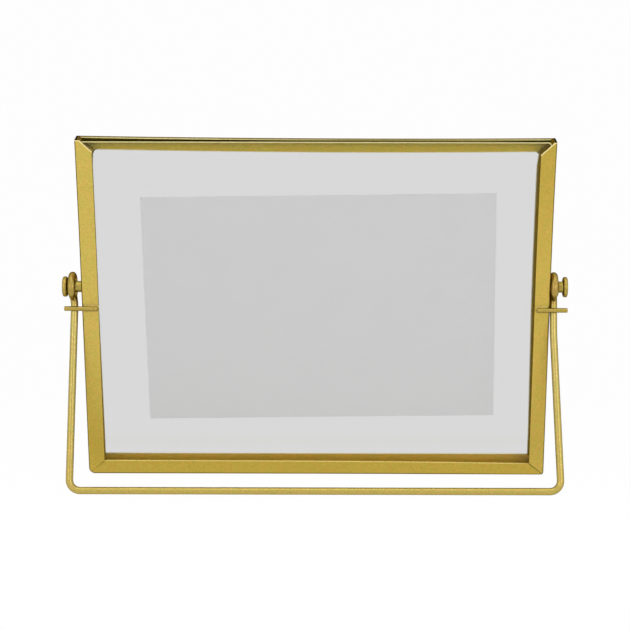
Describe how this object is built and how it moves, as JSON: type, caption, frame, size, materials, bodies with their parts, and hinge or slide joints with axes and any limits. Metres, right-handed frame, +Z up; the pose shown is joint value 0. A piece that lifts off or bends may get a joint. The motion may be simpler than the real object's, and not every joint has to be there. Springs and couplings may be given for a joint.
{
  "type": "floating picture frame",
  "caption": "Landscape floating frame: folded metal channel open above, two glass panes that slide in, a card between them, and a bent wire stand on side studs.",
  "frame": {"origin": "on the surface that the frame stands on, under the middle of its bounding box", "axes": "+X to the right and -Y forward as the stand's side is looked at, +Z up"},
  "size_m": [0.2158, 0.0358, 0.1507],
  "materials": {
    "satin_brass": "satin, finely mottled",
    "turned_brass": "turned, satin",
    "brass_wire": "drawn, soft shine",
    "solder": "dull, filed",
    "clear_glass": "clear, polished, broken edges",
    "picture_paper": "plain matt card"
  },
  "bodies": {
    "frame": {"left_rail": "satin_brass", "right_rail": "satin_brass", "bottom_rail": "satin_brass", "top_strip": "satin_brass", "left_corner_solder": "solder", "right_corner_solder": "solder", "left_stud": "turned_brass", "right_stud": "turned_brass", "left_stop_pin": "brass_wire", "right_stop_pin": "brass_wire", "left_pin_solder": "solder", "right_pin_solder": "solder"},
    "stand": {"wire_stand": "brass_wire"},
    "front_pane": {"front_glass": "clear_glass"},
    "rear_pane": {"rear_glass": "clear_glass", "picture_card": "picture_paper"}
  },
  "joints": [
    {"name": "stand_swing", "type": "hinge", "parent": "frame", "child": "stand", "pos_m": [0, 0.00845, 0.08536], "axis": [1, 0, 0], "range_deg": [0, 330]},
    {"name": "front_pane_slide", "type": "slide", "parent": "frame", "child": "front_pane", "axis": [0, -0.0616, 0.9981], "range_m": [0, 0.148]},
    {"name": "rear_pane_slide", "type": "slide", "parent": "frame", "child": "rear_pane", "axis": [0, -0.0616, 0.9981], "range_m": [0, 0.148]}
  ]
}
